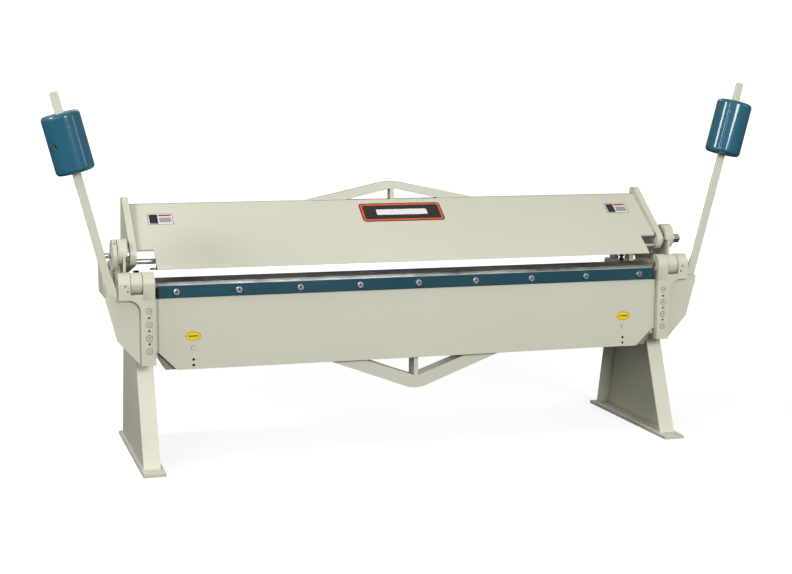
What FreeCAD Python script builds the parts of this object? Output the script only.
import FreeCAD, Part
import math
import os

from FreeCAD import Vector

# Hand leaf brake for sheet metal, 8 ft bending length.
# Millimetres. +X to the operator's right, +Y away from the operator, +Z up.
# The origin is on the floor, centred between the feet.

# ---------------------------------------------------------------- dimensions
BEND_LENGTH = 2438.4          # working length of the bending bar
HALF = BEND_LENGTH / 2.0
FRONT = -278.0                # y of the bending bar's front face
GAP = 0.5                     # face gap between parts that turn past each other

# hinge line of the bending leaf, which is also the front top edge of the bed
HINGE_Y = FRONT + 34.0
HINGE_Z = 844.0
KNUCKLE_R = 49.0
PIN_R = 16.0
PIN_CLEARANCE = 0.06
BUSH_R = 21.0

# feet and legs
FOOT_IN, FOOT_OUT = 1226.0, 1328.0
FOOT_Y = 442.0
FOOT_T = 16.0
ANCHOR_X = 1282.5
ANCHOR_FRONT_Y, ANCHOR_REAR_Y = -391.0, 413.0
ANCHOR_R = 9.0
LEG_IN, LEG_OUT = 1240.0, 1316.0
LEG_T = 8.0
LEG_TOP = 760.0
LEG_FRONT_FOOT, LEG_FRONT_SLOPE = -361.7, 0.407
LEG_REAR_FOOT, LEG_REAR_SLOPE = 387.0, 0.22

# bed
BED_HALF = 1236.0
BED_DEPTH = 181.0
BED_T = 30.0
APRON_Y = FRONT + 128.0
APRON_T = 16.0
APRON_BOTTOM = 472.0
RIB_X = (-960.0, -480.0, 0.0, 480.0, 960.0)
BED_SCREW_X = (-1080.0, -720.0, -240.0, 240.0, 720.0, 1080.0)
BED_SCREW_HEAD_Z, BED_SCREW_TIP_Z = HINGE_Z - 9.0, HINGE_Z - 60.0

# side frames that carry the clamp shafts and the rear pivots
SIDE_IN, SIDE_OUT = 1342.4, 1386.0
SIDE_BOLT_Y, SIDE_BOLT_Z, SIDE_BOLT_R = (FRONT + 255.0, FRONT + 360.0), (740.0, 660.0), 8.0
KNUCKLE_BOLT_Y, KNUCKLE_BOLT_Z, KNUCKLE_BOLT_R = (FRONT + 120.0, FRONT + 190.0), 830.0, 8.0
CLAMP_Y, CLAMP_Z = FRONT + 172.0, 957.0
LUG_R, LUG_TOP = 60.0, 1031.0
NECK_T = 22.0                 # side frame's thickness below its boss
SHAFT_R, SHAFT_END = 12.5, 1447.0
CLAMP_BUSH_R = 17.0
PIVOT_Y, PIVOT_Z = FRONT + 445.0, 880.0
PIVOT_R = 15.0

# stop brackets behind the bed's two ends
ADJUSTER_Y = (35.0, 105.0)
ADJUSTER_BASE_Z, ADJUSTER_LUG_TOP = (812.0, 830.0), 862.0
ADJUSTER_LONG = (1140.0, ((1160.0, 1184.0), (1244.0, 1268.0)), 1214.0)   # shelf's free end, lugs, screw
ADJUSTER_SHORT = (1256.0, (), 1276.0)
ADJUSTER_SCREW_R, ADJUSTER_HEAD = 8.0, 24.0

# bending leaf
LEAF_HALF = 1225.0
LEAF_FACE = FRONT + 12.6
LEAF_T = 19.0
LEAF_TOP, LEAF_BOTTOM = 832.0, 445.0
LEAF_CHAMFER_X, LEAF_CHAMFER_Z = 1143.0, 527.0
LEAF_SHOULDER_Z = 772.0        # above this the leaf is no wider than its bar
STIFF_DEPTH, STIFF_T, STIFF_CORNER = 84.0, 12.0, 55.0
STIFF_X, STIFF_HALF, STIFF_CORNER_Z = 1193.0, 1222.0, 494.0
OVAL_X, OVAL_Z = 1068.0, 598.0
LEAF_HOLE_X, LEAF_HOLE_Z, LEAF_HOLE_R = 1068.0, (490.0, 463.5), 6.5
PLUG_Z, PLUG_HEAD_R = 545.0, 9.0
V_HALF_FLAT, V_BOTTOM, V_SLOPE, V_FACE, V_WALL = 14.0, 295.0, 0.353, 58.0, 6.0
V_NOSE_R, V_NOSE_ANGLE = 148.0, 20.0
BAR_T, BAR_BOTTOM, BAR_TOP, BAR_CHAMFER = 12.6, 777.5, 832.0, 2.5
BAR_BOLT_PITCH, BAR_BOLT_COUNT, BAR_BOLT_Z = 285.75, 9, 804.7
BAR_SCREW_R, BAR_SCREW_HEAD_R, BAR_SCREW_HEAD_H = 8.0, 14.0, 7.0

# end castings of the bending leaf
CAST_FACE = FRONT - 15.0
CAST_BACK = LEAF_FACE + LEAF_T
EAR_IN = (1241.0, 1293.5)
BARREL = (1296.0, 1347.0)
EAR_OUT = (1349.5, 1402.0)
EAR_R, EAR_BOTTOM = KNUCKLE_R + 2.5, 776.0
BARREL_LIP_Z, BARREL_POCKET_R = 799.0, KNUCKLE_R + 1.5
STRIP_X = 1270.0
STRIP_BOLT_Z = (724.0, 662.5, 601.0, 541.0)
STRIP_SCREW_Z = (693.0, 633.5, 574.0)
EAR_SCREWS = ((1373.0, 839.0), (1362.0, 814.0))

# counterweights
ROD_TILT = 14.5               # degrees outward from vertical
ROD_BASE_X, ROD_BASE_Z = 1427.0, 790.0
ROD_Y = FRONT + 8.5
ROD_W, ROD_T = 37.5, 13.0     # flat bar
ROD_FLARE = 5.0               # how much wider the bar is at its welded foot
ROD_SLIDE = 0.4               # clearance of the weight's slot round the bar
ROD_LEN_LEFT, ROD_LEN_RIGHT = 935.0, 980.0
WEIGHT_R, WEIGHT_LEN = 86.0, 264.0
WEIGHT_FROM_TOP = 228.0       # from the rod's end to the middle of the weight
WEIGHT_FILLET = 18.0
WEIGHT_SCREW_R, WEIGHT_BORE_R, WEIGHT_BORE_DEPTH = 10.0, 13.5, 14.0
WEIGHT_SCREW_TURN = 45.0      # degrees outward from straight ahead

# upper (clamping) leaf, drawn in its raised position
NOSE_Y, NOSE_Z = FRONT + 37.6, 901.3
LEAN = 35.66                  # degrees of the front plate above horizontal
UPPER_LEN = 452.0
UPPER_T = 12.0
UPPER_HALF = 1300.0
NOTCH_LEN = 138.0             # height of the corner notch, along the plate
NOSE_BACK = 62.0              # depth of the clamping nose
TOP_FLANGE_T = 12.0
TIE_Y, TIE_Z, TIE_R = FRONT + 165.0, 926.0, 12.5
A_HALF, A_IN_HALF, A_TALL, A_FACE, A_DEPTH, A_WALL = 441.0, 242.0, 87.0, 33.0, 50.0, 5.0
A_CROWN_R, A_CROWN_ANGLE = 300.0, 12.0
CLOSE_ANGLE = 7.85            # turn of the upper leaf from raised to clamped
END_OUT = 1330.0
EYE_R = 50.0
THROW = 22.0                  # crank radius
CRANK_START = 30.0            # crank angle from straight up, raised leaf
CRANK_PIN_R = 11.0
SLOT_Y, SLOT_Z, SLOT_ANGLE = FRONT + 163.4, 976.3, -8.0
SLOT_HALF, SLOT_R = 20.0, 12.8
CHEEK_R = 36.0
HUB_R, HUB_IN, HUB_OUT = 73.0, SIDE_OUT + 3.0, 1410.0
HUB_SCREW_ANGLE, HUB_SCREW_R, HUB_SCREW_LEN = 127.0, 5.0, 52.0
COLLAR_R, COLLAR_OUT = 25.0, 1412.0
NUT_AF, NUT_OUT = 41.0, 1438.0

PARTS = {}


# ------------------------------------------------------------------- helpers
def behind(d):
    """y of a plane d millimetres behind the bending bar's front face"""
    return FRONT + d


def box(x0, x1, y0, y1, z0, z1):
    return Part.makeBox(x1 - x0, y1 - y0, z1 - z0, Vector(x0, y0, z0))


def rod_x(x0, x1, y, z, r):
    return Part.makeCylinder(r, x1 - x0, Vector(x0, y, z), Vector(1, 0, 0))


def rod_y(y0, y1, x, z, r):
    return Part.makeCylinder(r, y1 - y0, Vector(x, y0, z), Vector(0, 1, 0))


def rod_z(z0, z1, x, y, r):
    return Part.makeCylinder(r, z1 - z0, Vector(x, y, z0), Vector(0, 0, 1))


def prism_x(x0, x1, outline):
    """outline of (y, z) points, extruded along X"""
    pts = [Vector(x0, y, z) for y, z in outline]
    face = Part.Face(Part.makePolygon(pts + [pts[0]]))
    return face.extrude(Vector(x1 - x0, 0, 0))


def prism_y(y0, y1, outline):
    """outline of (x, z) points, extruded along Y"""
    pts = [Vector(x, y0, z) for x, z in outline]
    face = Part.Face(Part.makePolygon(pts + [pts[0]]))
    return face.extrude(Vector(0, y1 - y0, 0))


def hexagon_y(y0, y1, x, z, across_flats):
    r = across_flats / math.sqrt(3.0)
    pts = []
    for k in range(6):
        a = math.radians(60.0 * k)
        pts.append((x + r * math.cos(a), z + r * math.sin(a)))
    return prism_y(y0, y1, pts)


def hexagon_x(x0, x1, y, z, across_flats):
    r = across_flats / math.sqrt(3.0)
    pts = []
    for k in range(6):
        a = math.radians(60.0 * k)
        pts.append((y + r * math.cos(a), z + r * math.sin(a)))
    return prism_x(x0, x1, pts)


def hexagon_z(z0, z1, x, y, across_flats):
    r = across_flats / math.sqrt(3.0)
    pts = []
    for k in range(7):
        a = math.radians(60.0 * k)
        pts.append(Vector(x + r * math.cos(a), y + r * math.sin(a), z0))
    return Part.Face(Part.makePolygon(pts)).extrude(Vector(0, 0, z1 - z0))


def arc_points(cx, cy, r, a0, a1, steps):
    out = []
    for k in range(steps + 1):
        a = math.radians(a0 + (a1 - a0) * k / steps)
        out.append((cx + r * math.cos(a), cy + r * math.sin(a)))
    return out


def fuse(shapes):
    out = shapes[0]
    for s in shapes[1:]:
        out = out.fuse(s)
    return out.removeSplitter()


def cut(shape, tools):
    for t in tools:
        shape = shape.cut(t)
    return shape


def mirror(shape):
    """the same part for the left end of the machine"""
    return shape.mirror(Vector(0, 0, 0), Vector(1, 0, 0))


def both(shapes):
    return shapes + [mirror(s) for s in shapes]


def add(name, shape):
    PARTS[name] = shape


def add_group(name, shapes):
    PARTS[name] = Part.makeCompound(shapes)


def cap_screw(x, z, face_y, head_r, head_h, shank_r, length):
    """socket screw driven in +Y, its head standing proud of face_y"""
    head = rod_y(face_y - head_h, face_y, x, z, head_r)
    rim = [e for e in head.Edges if e.Closed and e.BoundBox.YMax < face_y - 0.5 * head_h]
    head = head.makeChamfer(0.3 * head_h, rim)
    socket = hexagon_y(face_y - head_h, face_y - 0.4 * head_h, x, z, head_r)
    shank = rod_y(face_y, face_y + length, x, z, shank_r)
    return fuse([head, shank]).cut(socket)


# ------------------------------------------------------------ feet and legs
def leg_front(z):
    return LEG_FRONT_FOOT + LEG_FRONT_SLOPE * (z - FOOT_T)


def leg_rear(z):
    return LEG_REAR_FOOT - LEG_REAR_SLOPE * (z - FOOT_T)


def make_leg():
    outline = [
        (leg_front(FOOT_T), FOOT_T),
        (leg_rear(FOOT_T), FOOT_T),
        (leg_rear(LEG_TOP), LEG_TOP),
        (leg_front(LEG_TOP), LEG_TOP),
    ]
    inner = [
        (leg_front(FOOT_T) + LEG_T, FOOT_T),
        (leg_rear(FOOT_T) - LEG_T, FOOT_T),
        (leg_rear(LEG_TOP) - LEG_T, LEG_TOP - LEG_T),
        (leg_front(LEG_TOP) + LEG_T, LEG_TOP - LEG_T),
    ]
    leg = prism_x(LEG_IN, LEG_OUT, outline)
    leg = leg.cut(prism_x(LEG_IN, LEG_OUT - LEG_T, inner))
    return cut(leg, side_bolt_holes())


def make_foot():
    foot = box(FOOT_IN, FOOT_OUT, -FOOT_Y, FOOT_Y, 0, FOOT_T)
    holes = [rod_z(0, FOOT_T, ANCHOR_X, y, ANCHOR_R) for y in (ANCHOR_FRONT_Y, ANCHOR_REAR_Y)]
    return cut(foot, holes)


def side_bolt_holes():
    x0 = LEG_OUT - LEG_T
    return [rod_x(x0, SIDE_OUT, y, z, SIDE_BOLT_R) for y in SIDE_BOLT_Y for z in SIDE_BOLT_Z]


def make_side_bolts():
    bolts = []
    inside = LEG_OUT - LEG_T
    for y in SIDE_BOLT_Y:
        for z in SIDE_BOLT_Z:
            shank = rod_x(inside, SIDE_OUT, y, z, SIDE_BOLT_R)
            head = hexagon_x(SIDE_OUT, SIDE_OUT + 10.0, y, z, 24.0)
            nut = hexagon_x(inside - 13.0, inside, y, z, 24.0)
            bolts.append(fuse([shank, head, nut]))
    return both(bolts)


# ------------------------------------------------------------- side frames
def make_side_frame():
    outline = [
        (behind(104), 790.0),
        (behind(104), 868.0),
        (behind(112), 878.0),
        (behind(172) - LUG_R, LUG_TOP - LUG_R),
    ]
    outline += arc_points(behind(172), LUG_TOP - LUG_R, LUG_R, 180, 0, 16)
    outline += [
        (behind(172) + LUG_R, 935.0),
        (behind(250), 905.0),
        (behind(400), 905.0),
    ]
    outline += arc_points(PIVOT_Y, PIVOT_Z, 38.0, 150, -60, 14)
    outline += [(behind(400), 735.0), (behind(360), 700.0), (behind(300), 640.0), (behind(240), 640.0)]
    frame = prism_x(SIDE_IN, SIDE_OUT, outline)
    pad = prism_x(LEG_OUT, SIDE_IN, [
        (behind(232), 640.0),
        (behind(385), 640.0),
        (behind(385), 756.0),
        (behind(232), 756.0),
    ])
    pad = pad.common(prism_x(LEG_OUT, SIDE_IN, [
        (leg_front(640.0) + 12, 640.0),
        (behind(300), 640.0),
        (behind(360), 700.0),
        (behind(385), 722.0),
        (behind(385), 756.0),
        (leg_front(640.0) + 40, 756.0),
    ]))
    frame = fuse([frame, pad])
    bores = [
        rod_x(SIDE_IN, SIDE_OUT, CLAMP_Y, CLAMP_Z, CLAMP_BUSH_R),
        rod_x(SIDE_IN, SIDE_OUT, PIVOT_Y, PIVOT_Z, PIVOT_R),
    ]
    bores += side_bolt_holes()
    bores += [rod_x(SIDE_IN, SIDE_OUT, y, KNUCKLE_BOLT_Z, KNUCKLE_BOLT_R) for y in KNUCKLE_BOLT_Y]
    return cut(frame, bores + side_frame_recesses())


def side_frame_recesses():
    """they leave a thin neck under the shaft's boss, and room beside the crank's cheek"""
    y0, y1, z0 = behind(104) - 1.0, behind(172) + LUG_R + 40.0, 872.0
    outer = box(SIDE_IN + NECK_T, SIDE_OUT, y0, y1, z0, CLAMP_Z)
    outer = outer.cut(rod_x(SIDE_IN, SIDE_OUT, behind(172), LUG_TOP - LUG_R, LUG_R))
    inner = box(SIDE_IN, SIDE_IN + NECK_T / 2.0, y0, y1, z0, CLAMP_Z)
    inner = inner.cut(rod_x(SIDE_IN, SIDE_OUT, CLAMP_Y, CLAMP_Z, CLAMP_BUSH_R + 10.0))
    return [outer, inner]


def make_knuckle():
    barrel = rod_x(BARREL[0], BARREL[1], HINGE_Y, HINGE_Z, KNUCKLE_R)
    neck = box(BARREL[0], SIDE_IN, HINGE_Y, behind(104), 804.0, 856.0)
    block = prism_x(BED_HALF + 4.0, SIDE_IN, [
        (behind(90), 800.0),
        (behind(215), 800.0),
        (behind(215), 848.0),
        (behind(205), 856.0),
        (behind(100), 856.0),
        (behind(90), 848.0),
    ])
    body = fuse([barrel, neck, block])
    holes = [rod_x(BARREL[0], BARREL[1], HINGE_Y, HINGE_Z, BUSH_R)]
    holes += [rod_x(SIDE_IN - 40.0, SIDE_IN, y, KNUCKLE_BOLT_Z, KNUCKLE_BOLT_R) for y in KNUCKLE_BOLT_Y]
    return cut(body, holes)


def make_knuckle_bolts():
    bolts = []
    for y in KNUCKLE_BOLT_Y:
        shank = rod_x(SIDE_IN - 40.0, SIDE_OUT, y, KNUCKLE_BOLT_Z, KNUCKLE_BOLT_R)
        head = hexagon_x(SIDE_OUT, SIDE_OUT + 8.0, y, KNUCKLE_BOLT_Z, 22.0)
        bolts.append(fuse([shank, head]))
    return both(bolts)


def make_hinge_bush():
    outer = rod_x(BARREL[0], BARREL[1], HINGE_Y, HINGE_Z, BUSH_R)
    return outer.cut(rod_x(BARREL[0], BARREL[1], HINGE_Y, HINGE_Z, PIN_R + PIN_CLEARANCE))


def make_clamp_bush():
    outer = rod_x(SIDE_IN, SIDE_OUT, CLAMP_Y, CLAMP_Z, CLAMP_BUSH_R)
    return outer.cut(rod_x(SIDE_IN, SIDE_OUT, CLAMP_Y, CLAMP_Z, SHAFT_R + PIN_CLEARANCE))


def make_pivot_pin():
    shank = rod_x(UPPER_HALF + 2.0, SIDE_OUT, PIVOT_Y, PIVOT_Z, PIVOT_R)
    head = rod_x(SIDE_OUT, SIDE_OUT + 8.0, PIVOT_Y, PIVOT_Z, PIVOT_R + 7.0)
    return fuse([shank, head])


def make_pivot_washer():
    outer = rod_x(END_OUT + GAP, SIDE_IN, PIVOT_Y, PIVOT_Z, 24.0)
    return outer.cut(rod_x(END_OUT + GAP, SIDE_IN, PIVOT_Y, PIVOT_Z, PIVOT_R))


# -------------------------------------------------------------------- bed
def make_bed_top():
    outline = [
        (HINGE_Y, HINGE_Z - BED_T + 6.0),
        (HINGE_Y + 6.0, HINGE_Z - BED_T),
        (HINGE_Y + BED_DEPTH, HINGE_Z - BED_T),
        (HINGE_Y + BED_DEPTH, HINGE_Z - 3.0),
        (HINGE_Y + BED_DEPTH - 3.0, HINGE_Z),
        (HINGE_Y, HINGE_Z),
    ]
    return prism_x(-BED_HALF, BED_HALF, outline)


def make_apron():
    top = HINGE_Z - BED_T
    outline = [
        (-BED_HALF + 10.0, top),
        (-BED_HALF + 10.0, 560.0),
        (-1120.0, APRON_BOTTOM),
        (1120.0, APRON_BOTTOM),
        (BED_HALF - 10.0, 560.0),
        (BED_HALF - 10.0, top),
    ]
    return prism_y(APRON_Y, APRON_Y + APRON_T, outline)


def make_bed_end():
    outline = [
        (APRON_Y, HINGE_Z - BED_T),
        (APRON_Y, 560.0),
        (behind(170), 500.0),
        (behind(470), 500.0),
        (behind(470), 700.0),
        (behind(215), HINGE_Z - BED_T),
    ]
    return prism_x(BED_HALF - 10.0, BED_HALF + 4.0, outline)


def make_bed_ribs():
    ribs = []
    y0 = APRON_Y + APRON_T
    for x in RIB_X:
        outline = [
            (y0, HINGE_Z - BED_T),
            (HINGE_Y + BED_DEPTH - 6.0, HINGE_Z - BED_T),
            (HINGE_Y + BED_DEPTH - 6.0, 780.0),
            (y0, 560.0),
        ]
        ribs.append(prism_x(x - 5.0, x + 5.0, outline))
    return ribs


def make_bed_screws():
    """sunk cap screws that hold the bed top to its apron"""
    screws = []
    y = APRON_Y + APRON_T / 2.0
    for x in BED_SCREW_X:
        head = rod_z(BED_SCREW_HEAD_Z, HINGE_Z - 1.0, x, y, 8.0)
        shank = rod_z(BED_SCREW_TIP_Z, BED_SCREW_HEAD_Z, x, y, 5.0)
        screws.append(fuse([head, shank]))
    return screws


def bed_screw_holes():
    holes = []
    y = APRON_Y + APRON_T / 2.0
    for x in BED_SCREW_X:
        holes.append(rod_z(BED_SCREW_HEAD_Z, HINGE_Z, x, y, 8.0))
        holes.append(rod_z(BED_SCREW_TIP_Z, BED_SCREW_HEAD_Z, x, y, 5.0))
    return holes


def make_adjuster_bracket(end_x, lugs, screw_x):
    """cast shelf on the inside of the side frame, with lugs beside its stop screw"""
    y0, y1 = ADJUSTER_Y
    shapes = [box(end_x, SIDE_IN, y0, y1, *ADJUSTER_BASE_Z)]
    for x0, x1 in lugs:
        shapes.append(box(x0, x1, y0 + 6.0, y1 - 6.0, ADJUSTER_BASE_Z[1], ADJUSTER_LUG_TOP))
    if len(lugs) > 1:
        shapes.append(rod_y(y0 + 6.0, y1 - 6.0, end_x + 6.0, ADJUSTER_BASE_Z[1], 16.0))
    body = fuse(shapes)
    middle = (y0 + y1) / 2.0
    return body.cut(rod_z(ADJUSTER_BASE_Z[0], ADJUSTER_BASE_Z[1], screw_x, middle, ADJUSTER_SCREW_R))


def make_adjuster_screw(screw_x):
    middle = (ADJUSTER_Y[0] + ADJUSTER_Y[1]) / 2.0
    low, top = ADJUSTER_BASE_Z
    shank = rod_z(low - 22.0, top + 22.0, screw_x, middle, ADJUSTER_SCREW_R)
    nut = hexagon_z(top, top + 13.0, screw_x, middle, ADJUSTER_HEAD)
    head = hexagon_z(top + 22.0, top + 32.0, screw_x, middle, ADJUSTER_HEAD)
    return fuse([shank, nut, head])


# ----------------------------------------------------------- bending leaf
def leaf_outline(half, top):
    return [
        (-LEAF_CHAMFER_X, LEAF_BOTTOM),
        (LEAF_CHAMFER_X, LEAF_BOTTOM),
        (half, LEAF_CHAMFER_Z),
        (half, top),
        (-half, top),
        (-half, LEAF_CHAMFER_Z),
    ]


def bar_bolt_x():
    first = -(BAR_BOLT_COUNT - 1) / 2.0 * BAR_BOLT_PITCH
    return [first + k * BAR_BOLT_PITCH for k in range(BAR_BOLT_COUNT)]


def make_leaf_plate():
    plate = prism_y(LEAF_FACE, CAST_BACK, leaf_outline(LEAF_HALF, LEAF_TOP))
    holes = []
    for s in (-1, 1):
        for z in LEAF_HOLE_Z:
            holes.append(rod_y(LEAF_FACE, CAST_BACK, s * LEAF_HOLE_X, z, LEAF_HOLE_R))
        holes.append(rod_y(LEAF_FACE, LEAF_FACE + 12.0, s * LEAF_HOLE_X, PLUG_Z, 4.0))
        shoulder = sorted((s * HALF, s * (LEAF_HALF + 1.0)))
        holes.append(box(*shoulder, LEAF_FACE, CAST_BACK, LEAF_SHOULDER_Z, LEAF_TOP))
    for x in bar_bolt_x():
        holes.append(rod_y(LEAF_FACE, LEAF_FACE + 14.0, x, BAR_BOLT_Z, BAR_SCREW_R))
    return cut(plate, holes)


def make_leaf_stiffener():
    """flat along the bottom edge, turned up into thick corners at its two ends"""
    y0, y1 = CAST_BACK, CAST_BACK + STIFF_DEPTH
    inner_x, inner_half = STIFF_X - STIFF_CORNER, STIFF_HALF - STIFF_T
    outer = prism_y(y0, y1, [
        (-STIFF_X, LEAF_BOTTOM),
        (STIFF_X, LEAF_BOTTOM),
        (STIFF_HALF, STIFF_CORNER_Z),
        (STIFF_HALF, LEAF_CHAMFER_Z),
        (-STIFF_HALF, LEAF_CHAMFER_Z),
        (-STIFF_HALF, STIFF_CORNER_Z),
    ])
    inner = prism_y(y0, y1, [
        (-inner_x, LEAF_BOTTOM + STIFF_T),
        (inner_x, LEAF_BOTTOM + STIFF_T),
        (inner_half, LEAF_CHAMFER_Z),
        (-inner_half, LEAF_CHAMFER_Z),
    ])
    return outer.cut(inner)


def make_casting_pads():
    """blocks welded behind the leaf's two ends, which the end castings bolt to"""
    pads = [
        box(1180.0, LEAF_HALF, CAST_BACK, CAST_BACK + 20.0, 534.0, 772.0),
        box(LEAF_HALF, 1305.0, CAST_BACK, CAST_BACK + 20.0, 500.0, 772.0),
        box(LEAF_HALF, EAR_IN[0], LEAF_FACE + 5.0, CAST_BACK, LEAF_CHAMFER_Z, LEAF_SHOULDER_Z),
    ]
    pad = fuse(pads)
    holes = [rod_y(CAST_BACK, CAST_BACK + 20.0, STRIP_X, z, 7.0) for z in STRIP_BOLT_Z]
    return cut(pad, holes)


def vee(half, root, tip, flat):
    """triangle on the line z = root with its tip cut off to the width 2 * flat"""
    return [(-half, root), (half, root), (flat, tip), (-flat, tip)]


def make_leaf_truss():
    """shallow V of two box-section straps under the leaf, with a post in its middle"""
    root = LEAF_BOTTOM
    half = (root - V_BOTTOM) / V_SLOPE
    in_tip = V_BOTTOM + V_FACE
    in_half = (root - in_tip) / V_SLOPE
    y0, y1 = CAST_BACK, CAST_BACK + STIFF_DEPTH
    nose = arc_points(0.0, V_BOTTOM + V_NOSE_R, V_NOSE_R, V_NOSE_ANGLE - 90.0, -V_NOSE_ANGLE - 90.0, 8)
    outer = prism_y(y0, y1, [(-half, root), (half, root)] + nose)
    strap = outer.cut(prism_y(y0, y1, vee(in_half, root, in_tip + 2.0, 12.0)))
    core = prism_y(y0 + V_WALL, y1 - V_WALL, vee(half - 30.0, root + 1.0, V_BOTTOM + 12.0, V_HALF_FLAT))
    core = core.cut(prism_y(y0 + V_WALL, y1 - V_WALL, vee(in_half + 22.0, root + 1.0, in_tip - 10.0, 0.5)))
    post = box(-10.5, 10.5, y0, y1, in_tip, root)
    return fuse([strap.cut(core), post])


def make_bending_bar():
    bar = box(-HALF, HALF, FRONT, LEAF_FACE, BAR_BOTTOM, BAR_TOP)
    edges = []
    for e in bar.Edges:
        box_e = e.BoundBox
        if box_e.YMax < FRONT + 0.1 and box_e.XLength > 100.0:
            edges.append(e)
    bar = bar.makeChamfer(BAR_CHAMFER, edges)
    holes = [rod_y(FRONT, LEAF_FACE, x, BAR_BOLT_Z, BAR_SCREW_R) for x in bar_bolt_x()]
    return cut(bar, holes)


def make_bar_screws():
    head_r, head_h = BAR_SCREW_HEAD_R, BAR_SCREW_HEAD_H
    return [cap_screw(x, BAR_BOLT_Z, FRONT, head_r, head_h, BAR_SCREW_R, BAR_T + 14.0) for x in bar_bolt_x()]


def make_end_casting():
    web = prism_y(behind(2), behind(20), [
        (1250.0, 478.0),
        (1305.0, 476.0),
        (1315.0, 485.0),
        (1408.0, 588.0),
        (1455.0, 765.0),
        (1455.0, 790.0),
        (1250.0, 790.0),
    ])
    strip_outline = [(EAR_IN[0], 476.0), (1305.5, 476.0), (1305.5, 721.0)]
    strip_outline += arc_points(1357.5, 721.0, 52.0, 180, 90, 10)
    strip_outline += [(EAR_OUT[1], 773.0), (EAR_OUT[1], 790.0), (EAR_IN[0], 790.0)]
    strip = prism_y(CAST_FACE, CAST_BACK, strip_outline)
    boss = box(EAR_OUT[1], 1455.0, behind(2), CAST_BACK, 766.0, 790.0)
    shapes = [web, strip, boss]
    for x0, x1 in (EAR_IN, EAR_OUT):
        shapes.append(rod_x(x0, x1, HINGE_Y, HINGE_Z, EAR_R))
        shapes.append(box(x0, x1, HINGE_Y - EAR_R, HINGE_Y, EAR_BOTTOM, HINGE_Z))
    lip = box(EAR_IN[1], EAR_OUT[0], CAST_FACE, CAST_BACK, 790.0, BARREL_LIP_Z)
    shapes.append(lip.cut(rod_x(EAR_IN[1], EAR_OUT[0], HINGE_Y, HINGE_Z, BARREL_POCKET_R)))
    body = fuse(shapes)
    holes = [rod_x(EAR_IN[0], EAR_OUT[1], HINGE_Y, HINGE_Z, PIN_R)]
    for z in STRIP_BOLT_Z:
        holes.append(rod_y(CAST_FACE, CAST_FACE + 8.0, STRIP_X, z, 12.5))
        holes.append(rod_y(CAST_FACE, CAST_BACK, STRIP_X, z, 7.0))
    for z in STRIP_SCREW_Z:
        holes.append(rod_y(CAST_FACE, CAST_FACE + 30.0, STRIP_X, z, 5.0))
    for x, z in EAR_SCREWS:
        holes.append(rod_y(HINGE_Y - EAR_R, HINGE_Y - PIN_R + 1.0, x, z, 4.0))
    return cut(body, holes)


def make_casting_bolts():
    bolts = []
    for z in STRIP_BOLT_Z:
        head = rod_y(CAST_FACE - 2.5, CAST_FACE + 8.0, STRIP_X, z, 12.0)
        socket = hexagon_y(CAST_FACE - 2.5, CAST_FACE + 4.0, STRIP_X, z, 12.0)
        shank = rod_y(CAST_FACE + 8.0, CAST_BACK + 20.0, STRIP_X, z, 7.0)
        bolts.append(fuse([head, shank]).cut(socket))
    return both(bolts)


def set_screw(x, z, top_y, r, length):
    """headless screw driven in +Y from top_y, with a hexagon socket"""
    body = rod_y(top_y, top_y + length, x, z, r)
    return body.cut(hexagon_y(top_y, top_y + r, x, z, r))


def make_set_screws():
    screws = [set_screw(STRIP_X, z, CAST_FACE + 4.0, 5.0, 24.0) for z in STRIP_SCREW_Z]
    screws += [set_screw(LEAF_HOLE_X, z, LEAF_FACE + 4.0, LEAF_HOLE_R, 14.0) for z in LEAF_HOLE_Z]
    return both(screws)


def make_ear_screws():
    top = HINGE_Y - EAR_R + 2.0
    return both([set_screw(x, z, top, 4.0, HINGE_Y - PIN_R - 0.5 - top) for x, z in EAR_SCREWS])


def make_hinge_pin():
    return rod_x(EAR_IN[0] + 2.0, EAR_OUT[1] - 2.0, HINGE_Y, HINGE_Z, PIN_R)


def make_plug_screws():
    screws = []
    for s in (-1, 1):
        head = rod_y(LEAF_FACE - 4.0, LEAF_FACE, s * LEAF_HOLE_X, PLUG_Z, PLUG_HEAD_R)
        shank = rod_y(LEAF_FACE, LEAF_FACE + 12.0, s * LEAF_HOLE_X, PLUG_Z, 4.0)
        screws.append(fuse([head, shank]))
    return screws


def make_oval_labels():
    labels = []
    for s in (-1, 1):
        disc = Part.makeCylinder(1.0, 0.8, Vector(0, 0, 0), Vector(0, 1, 0))
        m = FreeCAD.Matrix()
        m.scale(36.0, 1.0, 23.0)
        disc = disc.transformGeometry(m)
        disc.translate(Vector(s * OVAL_X, LEAF_FACE - 0.8, OVAL_Z))
        labels.append(disc)
    return labels


def make_stop_arm():
    return prism_x(1440.0, 1455.0, [
        (CAST_BACK, 776.0),
        (behind(300), 776.0),
        (behind(318), 800.0),
        (behind(318), 918.0),
        (behind(300), 935.0),
        (behind(262), 925.0),
        (behind(60), 806.0),
        (CAST_BACK, 792.0),
    ])


# --------------------------------------------------------- counterweights
ROD_BASE = Vector(ROD_BASE_X, ROD_Y, ROD_BASE_Z)


def tilt(shape):
    """from a shape drawn upright on the origin to the right-hand rod's place"""
    shape.rotate(Vector(0, 0, 0), Vector(0, 1, 0), ROD_TILT)
    shape.translate(ROD_BASE)
    return shape


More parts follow.
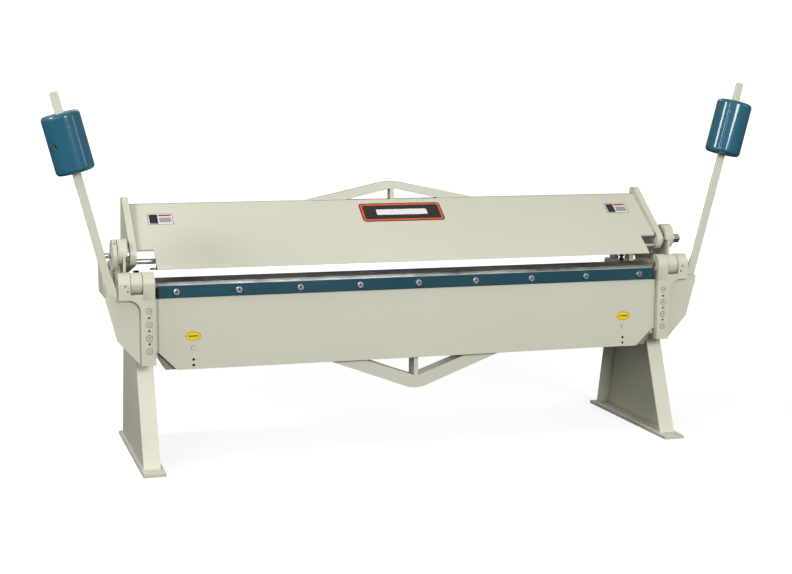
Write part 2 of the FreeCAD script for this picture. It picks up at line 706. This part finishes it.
def make_rod(length):
    """flat bar with clipped top corners, widened inward where it is welded on"""
    h, t = ROD_W / 2.0, ROD_T / 2.0
    bar = prism_y(-t, t, [
        (-h - ROD_FLARE, -10.0),
        (h, -10.0),
        (h, length - 7.0),
        (h - 7.0, length),
        (-h + 7.0, length),
        (-h, length - 7.0),
        (-h, 95.0),
        (-h - ROD_FLARE, 60.0),
    ])
    above_weld = box(ROD_BASE_X - 200.0, ROD_BASE_X + 600.0, ROD_Y - 50.0, ROD_Y + 50.0, ROD_BASE_Z, 2200.0)
    return tilt(bar).common(above_weld)


def make_weight(length):
    mid = length - WEIGHT_FROM_TOP
    low = mid - WEIGHT_LEN / 2.0
    body = Part.makeCylinder(WEIGHT_R, WEIGHT_LEN, Vector(0, 0, low))
    body = body.makeFillet(WEIGHT_FILLET, [e for e in body.Edges if e.Closed and e.Length > 100.0])
    w, t = ROD_W / 2.0 + ROD_SLIDE, ROD_T / 2.0 + ROD_SLIDE
    slot = Part.makeBox(2 * w, 2 * t, WEIGHT_LEN + 20.0, Vector(-w, -t, low - 10.0))
    body = body.cut(slot)
    body = body.cut(weight_screw_body(mid, 0.0, 2 * WEIGHT_R, WEIGHT_SCREW_R))
    return tilt(body.cut(weight_screw_body(mid, WEIGHT_R - WEIGHT_BORE_DEPTH, 2 * WEIGHT_R, WEIGHT_BORE_R)))


def weight_screw_body(mid, r0, r1, radius):
    """round bar from r0 to r1 out from the rod's middle, towards the outer front corner"""
    a = math.radians(WEIGHT_SCREW_TURN)
    out = Vector(math.sin(a), -math.cos(a), 0)
    return Part.makeCylinder(radius, r1 - r0, Vector(0, 0, mid) + out * r0, out)


def make_weight_screw(length):
    mid = length - WEIGHT_FROM_TOP
    tip, head = 20.0, WEIGHT_R - 4.0
    socket = hexagon_y(-head, -head + 8.0, 0.0, mid, 9.0)
    socket.rotate(Vector(0, 0, 0), Vector(0, 0, 1), WEIGHT_SCREW_TURN)
    return tilt(weight_screw_body(mid, tip, head, WEIGHT_SCREW_R).cut(socket))


# -------------------------------------------------------------- upper leaf
LEAN_COS = math.cos(math.radians(LEAN))
LEAN_SIN = math.sin(math.radians(LEAN))


def on_lean(s, n):
    """(y, z) of a point s up the front plate from its lower edge and n in front of it"""
    return (NOSE_Y + s * LEAN_COS - n * LEAN_SIN, NOSE_Z + s * LEAN_SIN + n * LEAN_COS)


def lean_slab(x0, x1, s0, s1, n0, n1):
    return prism_x(x0, x1, [on_lean(s0, n0), on_lean(s1, n0), on_lean(s1, n1), on_lean(s0, n1)])


CLOSE_TAN = math.tan(math.radians(CLOSE_ANGLE))


def nose_drop(y):
    """z of the clamping face at y, which is level once the leaf has closed"""
    return NOSE_Z - (y - NOSE_Y) * CLOSE_TAN


def make_upper_plate():
    """its lower edge is cut to lie flat on the sheet once the leaf has closed"""
    wide = lean_slab(-UPPER_HALF, UPPER_HALF, NOTCH_LEN, UPPER_LEN, -UPPER_T, 0.0)
    low = lean_slab(-HALF, HALF, 0.0, NOTCH_LEN, -UPPER_T, 0.0)
    below = prism_x(-HALF, HALF, [
        (NOSE_Y - 40.0, nose_drop(NOSE_Y - 40.0)),
        (NOSE_Y + 40.0, nose_drop(NOSE_Y + 40.0)),
        (NOSE_Y + 40.0, NOSE_Z - 60.0),
        (NOSE_Y - 40.0, NOSE_Z - 60.0),
    ])
    return fuse([wide, low]).cut(below)


def make_nose_bar():
    s = UPPER_T * (LEAN_COS - CLOSE_TAN * LEAN_SIN) / (LEAN_SIN + CLOSE_TAN * LEAN_COS)
    back = NOSE_Y + NOSE_BACK
    outline = [
        on_lean(s, -UPPER_T),
        (back, nose_drop(back)),
        (back, nose_drop(back) + 26.0),
        on_lean(46.0, -UPPER_T),
    ]
    return prism_x(-HALF, HALF, outline)


def make_end_plate():
    eye_y, eye_z = behind(172), 957.0
    lug_r = 38.0
    outline = arc_points(eye_y, eye_z, EYE_R, 125, 262, 18)
    outline += arc_points(PIVOT_Y, PIVOT_Z, lug_r, 262, 370, 14)
    outline += [(behind(476), 1010.0), (behind(452), 1188.0)]
    outline += arc_points(behind(436), 1184.0, 16.0, 20, 90, 4)
    outline += arc_points(behind(412), 1176.0, 24.0, 90, 150, 4)
    plate = prism_x(UPPER_HALF, END_OUT, outline)
    angle = math.radians(SLOT_ANGLE)
    dy, dz = math.cos(angle), math.sin(angle)
    reach = SLOT_HALF - CRANK_PIN_R
    tools = []
    for s in (-reach, reach):
        tools.append(rod_x(UPPER_HALF, END_OUT, SLOT_Y + s * dy, SLOT_Z + s * dz, SLOT_R))
    corners = []
    for s, n in ((-reach, -SLOT_R), (reach, -SLOT_R), (reach, SLOT_R), (-reach, SLOT_R)):
        corners.append((SLOT_Y + s * dy - n * dz, SLOT_Z + s * dz + n * dy))
    tools.append(prism_x(UPPER_HALF, END_OUT, corners))
    tools.append(rod_x(UPPER_HALF, END_OUT, PIVOT_Y, PIVOT_Z, PIVOT_R + PIN_CLEARANCE))
    return cut(plate, tools)


TOP_Z = NOSE_Z + UPPER_LEN * LEAN_SIN
TOP_Y = NOSE_Y + UPPER_LEN * LEAN_COS


def make_top_flange():
    y0 = TOP_Y + UPPER_T * LEAN_SIN
    slab = box(-UPPER_HALF, UPPER_HALF, y0 - 20.0, behind(480), TOP_Z - TOP_FLANGE_T, TOP_Z)
    return slab.cut(lean_slab(-UPPER_HALF, UPPER_HALF, 0.0, UPPER_LEN + 60.0, -UPPER_T, 60.0))


def make_upper_truss():
    """flat arch of two box-section straps on the top flange, with a short post"""
    y0 = behind(430)
    y1 = y0 + A_DEPTH
    root, tip = TOP_Z, TOP_Z + A_TALL
    in_tip = tip - A_FACE
    crown = arc_points(0.0, tip - A_CROWN_R, A_CROWN_R, 90.0 - A_CROWN_ANGLE, 90.0 + A_CROWN_ANGLE, 8)
    outer = prism_y(y0, y1, [(A_HALF, root)] + crown + [(-A_HALF, root)])
    strap = outer.cut(prism_y(y0, y1, vee(A_IN_HALF, root, in_tip - 2.0, 10.0)))
    core = prism_y(y0 + A_WALL, y1 - A_WALL, vee(A_HALF - 40.0, root - 1.0, tip - 9.0, 12.0))
    core = core.cut(prism_y(y0 + A_WALL, y1 - A_WALL, vee(A_IN_HALF + 24.0, root - 1.0, in_tip + 9.0, 0.5)))
    post = box(-10.0, 10.0, y0, y1, root, in_tip)
    return fuse([strap.cut(core), post])


def make_upper_chord():
    """flat behind the nose bar that the ribs stand on"""
    y0, y1 = NOSE_Y + NOSE_BACK, behind(290)
    lift = 3.0
    outline = [
        (y0, nose_drop(y0) + lift),
        (y1, nose_drop(y1) + lift),
        (y1, nose_drop(y1) + lift + 10.0),
        (y0, nose_drop(y0) + lift + 10.0),
    ]
    return prism_x(-HALF, HALF, outline)


def make_upper_ribs():
    ribs = []
    y0, y1 = NOSE_Y + 66.0, behind(290)
    top = on_lean(UPPER_LEN - 8.0, -UPPER_T)
    low = on_lean(62.0, -UPPER_T)
    for x in RIB_X:
        outline = [
            (y0, nose_drop(y0) + 13.0),
            (y1, nose_drop(y1) + 13.0),
            (behind(420), TOP_Z - TOP_FLANGE_T),
            (top[0], TOP_Z - TOP_FLANGE_T),
            top,
            low,
        ]
        rib = prism_x(x - 5.0, x + 5.0, outline)
        rib = rib.cut(rod_x(x - 6.0, x + 6.0, TIE_Y, TIE_Z, TIE_R + 1.0))
        keep = lean_slab(x - 6.0, x + 6.0, -200.0, 700.0, -700.0, -UPPER_T)
        rib = rib.common(keep).cut(make_top_flange()).cut(make_nose_bar())
        ribs.append(rib)
    return ribs


def make_tie_rod():
    return rod_x(-UPPER_HALF, UPPER_HALF, TIE_Y, TIE_Z, TIE_R)


def make_name_plate():
    return lean_slab(-190.0, 226.0, 290.0, 424.0, 0.0, 1.5)


def make_small_labels():
    return both([lean_slab(1104.0, 1222.0, 309.0, 384.0, 0.0, 0.8)])


# ----------------------------------------------------------- clamp shafts
def crank_pin_at():
    a = math.radians(CRANK_START)
    return (CLAMP_Y - THROW * math.sin(a), CLAMP_Z + THROW * math.cos(a))


def make_clamp_shaft():
    py, pz = crank_pin_at()
    cheek = rod_x(END_OUT + GAP, SIDE_IN - GAP, CLAMP_Y, CLAMP_Z, CHEEK_R)
    pin = rod_x(UPPER_HALF + 6.0, END_OUT + GAP, py, pz, CRANK_PIN_R)
    shaft = rod_x(SIDE_IN - GAP, SHAFT_END, CLAMP_Y, CLAMP_Z, SHAFT_R)
    edges = [e for e in shaft.Edges if e.Closed and abs(e.BoundBox.XMin - SHAFT_END) < 0.1]
    shaft = shaft.makeChamfer(2.0, edges)
    return fuse([cheek, pin, shaft])


def make_hub():
    """drawn on the right, used on the left"""
    hub = rod_x(HUB_IN, HUB_OUT, CLAMP_Y, CLAMP_Z, HUB_R)
    edges = [e for e in hub.Edges if e.Closed and e.Length > 300.0]
    hub = hub.makeChamfer(2.5, edges)
    hub = hub.cut(rod_x(HUB_IN, HUB_OUT, CLAMP_Y, CLAMP_Z, SHAFT_R))
    return hub.cut(hub_screw_body(SHAFT_R - 0.5, HUB_R))


def hub_screw_body(r0, length):
    """round bar that starts r0 out from the shaft's middle"""
    a = math.radians(HUB_SCREW_ANGLE)
    out = Vector(0, math.cos(a), math.sin(a))
    centre = Vector((HUB_IN + HUB_OUT) / 2.0, CLAMP_Y, CLAMP_Z)
    return Part.makeCylinder(HUB_SCREW_R, length, centre + out * r0, out)


def make_hub_screw():
    return hub_screw_body(SHAFT_R + 0.2, HUB_SCREW_LEN)


def make_clamp_collar():
    outer = rod_x(SIDE_OUT + GAP, COLLAR_OUT, CLAMP_Y, CLAMP_Z, COLLAR_R)
    return outer.cut(rod_x(SIDE_OUT + GAP, COLLAR_OUT, CLAMP_Y, CLAMP_Z, SHAFT_R))


def make_lock_nut():
    nut = hexagon_x(COLLAR_OUT, NUT_OUT, CLAMP_Y, CLAMP_Z, NUT_AF)
    return nut.cut(rod_x(COLLAR_OUT, NUT_OUT, CLAMP_Y, CLAMP_Z, SHAFT_R))


# ---------------------------------------------------------------- assembly
add("leg_left", mirror(make_leg()))
add("leg_right", make_leg())
add("foot_plate_left", mirror(make_foot()))
add("foot_plate_right", make_foot())
add("side_frame_left", mirror(make_side_frame()))
add("side_frame_right", make_side_frame())
add_group("side_frame_bolts", make_side_bolts())
add("hinge_knuckle_left", mirror(make_knuckle()))
add("hinge_knuckle_right", make_knuckle())
add_group("knuckle_bolts", make_knuckle_bolts())
add_group("hinge_bushes", both([make_hinge_bush()]))
add_group("clamp_bushes", both([make_clamp_bush()]))
add_group("rear_pivot_pins", both([make_pivot_pin()]))
add_group("rear_pivot_washers", both([make_pivot_washer()]))
add("bed_top_plate", cut(make_bed_top(), bed_screw_holes()))
add("bed_apron", cut(make_apron(), bed_screw_holes()))
add("bed_end_left", mirror(make_bed_end()))
add("bed_end_right", make_bed_end())
add_group("bed_ribs", make_bed_ribs())
add_group("bed_screws", make_bed_screws())
add_group("adjuster_brackets", [
    make_adjuster_bracket(*ADJUSTER_LONG),
    mirror(make_adjuster_bracket(*ADJUSTER_SHORT)),
])
add_group("adjuster_screws", [
    make_adjuster_screw(ADJUSTER_LONG[2]),
    mirror(make_adjuster_screw(ADJUSTER_SHORT[2])),
])

add("leaf_plate", make_leaf_plate())
add("leaf_stiffener", make_leaf_stiffener())
add("leaf_truss", make_leaf_truss())
add_group("casting_pads", both([make_casting_pads()]))
add("bending_bar", make_bending_bar())
add_group("bar_screws", make_bar_screws())
add("end_casting_left", mirror(make_end_casting()))
add("end_casting_right", make_end_casting())
add_group("casting_bolts", make_casting_bolts())
add_group("leaf_set_screws", make_set_screws())
add_group("ear_set_screws", make_ear_screws())
add_group("hinge_pins", both([make_hinge_pin()]))
add_group("leaf_plug_screws", make_plug_screws())
add_group("oval_labels", make_oval_labels())
add("stop_arm", mirror(make_stop_arm()))
add("counterweight_rod_left", mirror(make_rod(ROD_LEN_LEFT)))
add("counterweight_rod_right", make_rod(ROD_LEN_RIGHT))

add("counterweight_left", mirror(make_weight(ROD_LEN_LEFT)))
add("counterweight_right", make_weight(ROD_LEN_RIGHT))
add("weight_screw_left", mirror(make_weight_screw(ROD_LEN_LEFT)))
add("weight_screw_right", make_weight_screw(ROD_LEN_RIGHT))

add("upper_leaf_plate", make_upper_plate())
add("nose_bar", make_nose_bar())
add("upper_end_plate_left", mirror(make_end_plate()))
add("upper_end_plate_right", make_end_plate())
add("upper_top_flange", make_top_flange())
add("upper_truss", make_upper_truss())
add("upper_chord", make_upper_chord())
add_group("upper_ribs", make_upper_ribs())
add("upper_tie_rod", make_tie_rod())
add("name_plate", make_name_plate())
add_group("blank_labels", make_small_labels())

add("clamp_shaft_left", mirror(make_clamp_shaft()))
add("clamp_shaft_right", make_clamp_shaft())
add("clamp_hub", mirror(make_hub()))
add("clamp_hub_screw", mirror(make_hub_screw()))
add("clamp_collar", make_clamp_collar())
add("clamp_lock_nut", make_lock_nut())

os.makedirs("parts", exist_ok=True)
for name, shape in PARTS.items():
    shape.exportStep("parts/" + name + ".step")
    print(name, len(shape.Solids), "solids", round(shape.Volume / 1000.0, 1), "cm3", shape.isValid())
